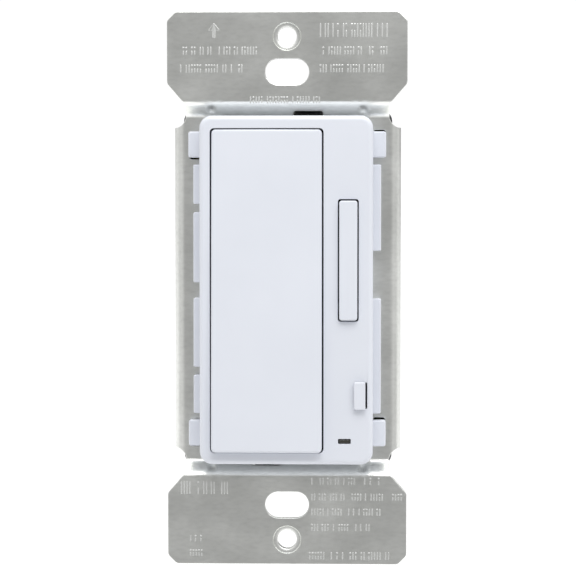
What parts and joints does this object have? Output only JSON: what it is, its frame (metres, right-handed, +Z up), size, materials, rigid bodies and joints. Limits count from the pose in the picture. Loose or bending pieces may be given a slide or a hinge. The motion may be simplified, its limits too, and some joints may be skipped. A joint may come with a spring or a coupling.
{
  "type": "wall dimmer switch",
  "caption": "Decorator-style wall dimmer: hinged press paddle, vertical two-way dimming bar, indicator and pull-out air-gap tab on a plated mounting strap with a deep rear housing.",
  "frame": {"origin": "middle of the device in the wall plane, which is the back face of the strap's two ears", "axes": "+X to the right seen from the room, +Y into the wall, +Z up along the strap"},
  "size_m": [0.0462, 0.0399, 0.1064],
  "materials": {
    "strap_metal": "zinc plated, finely brushed across",
    "white_plastic": "soft gloss moulding",
    "black_plastic": "satin moulding",
    "grey_plastic": "satin moulding",
    "steel": "plated",
    "brass": "plain",
    "green_steel": "green plated",
    "board_green": "solder mask on glass epoxy",
    "copper": "enamelled wire",
    "ferrite": "coated",
    "film_yellow": "satin box",
    "can_sleeve": "sleeved can",
    "varistor_blue": "epoxy coated",
    "fuse_ceramic": "glazed",
    "fish_paper": "pressed paper",
    "silicone": "filled silicone",
    "clear_plastic": "clear moulding",
    "lamp_white": "lamp body"
  },
  "bodies": {
    "chassis": {"mounting_strap": "strap_metal", "face_frame": "white_plastic", "actuator_carrier": "black_plastic", "rear_housing": "black_plastic", "paddle_hinge_pin": "steel", "paddle_return_spring": "steel", "air_gap_contact_upper": "brass", "air_gap_contact_lower": "brass", "indicator_lamp": "lamp_white", "light_pipe": "clear_plastic", "insulating_sheet": "fish_paper", "circuit_board": "board_green", "control_chip": "black_plastic", "choke_core": "ferrite", "choke_winding": "copper", "film_capacitor": "film_yellow", "supply_capacitor": "can_sleeve", "varistor": "varistor_blue", "thermal_fuse": "fuse_ceramic", "ground_screw": "green_steel", "brighten_switch_body": "black_plastic", "dim_switch_body": "black_plastic", "paddle_switch_body": "black_plastic", "housing_screw_upper_left": "steel", "housing_screw_lower_left": "steel", "housing_screw_upper_right": "steel", "housing_screw_middle_right": "steel", "left_thermal_pad": "silicone", "left_transistor": "black_plastic", "left_transistor_screw": "steel", "left_transistor_tab": "steel", "right_thermal_pad": "silicone", "right_transistor": "black_plastic", "right_transistor_screw": "steel", "right_transistor_tab": "steel", "line_terminal_clamp": "steel", "line_terminal_plate": "brass", "line_terminal_screw": "brass", "load_terminal_clamp": "steel", "load_terminal_plate": "brass", "load_terminal_screw": "brass", "traveler_terminal_clamp": "steel", "traveler_terminal_plate": "brass", "traveler_terminal_screw": "brass"},
    "paddle": {"paddle": "white_plastic"},
    "paddle_press": {"paddle_plunger": "grey_plastic", "paddle_switch_button": "grey_plastic"},
    "dimming_bar": {"dimming_bar": "white_plastic"},
    "brighten_press": {"brighten_plunger": "grey_plastic", "brighten_switch_button": "grey_plastic"},
    "dim_press": {"dim_plunger": "grey_plastic", "dim_switch_button": "grey_plastic"},
    "air_gap": {"air_gap_tab": "white_plastic", "air_gap_bridge": "brass"}
  },
  "joints": [
    {"name": "paddle_hinge", "type": "hinge", "parent": "chassis", "child": "paddle", "pos_m": [-0.0037, -0.0034, 0.02785], "axis": [1, 0, 0], "range_deg": [0, 1.9], "stiffness_Nm_per_rad": 0.3, "springref_deg": -5.73, "deforming": ["paddle_return_spring"]},
    {"name": "paddle_plunger_slide", "type": "slide", "parent": "chassis", "child": "paddle_press", "axis": [0, 1, 0], "range_m": [0, 0.0004]},
    {"name": "bar_rock", "type": "hinge", "parent": "chassis", "child": "dimming_bar", "pos_m": [0.0118, -0.004, 0.00575], "axis": [-1, 0, 0], "range_deg": [-2.2, 2.2], "stiffness_Nm_per_rad": 0.01},
    {"name": "brighten_plunger_slide", "type": "slide", "parent": "chassis", "child": "brighten_press", "axis": [0, 1, 0], "range_m": [-0.00035, 0.00035]},
    {"name": "dim_plunger_slide", "type": "slide", "parent": "chassis", "child": "dim_press", "axis": [0, 1, 0], "range_m": [-0.00035, 0.00035]},
    {"name": "air_gap_slide", "type": "slide", "parent": "chassis", "child": "air_gap", "axis": [0, -1, 0], "range_m": [0, 0.0025]}
  ],
  "couplings": [
    {"joint": "paddle_plunger_slide", "follows": "paddle_hinge", "m_per_rad": 0.012},
    {"joint": "brighten_plunger_slide", "follows": "bar_rock", "m_per_rad": 0.009},
    {"joint": "dim_plunger_slide", "follows": "bar_rock", "m_per_rad": -0.009}
  ]
}
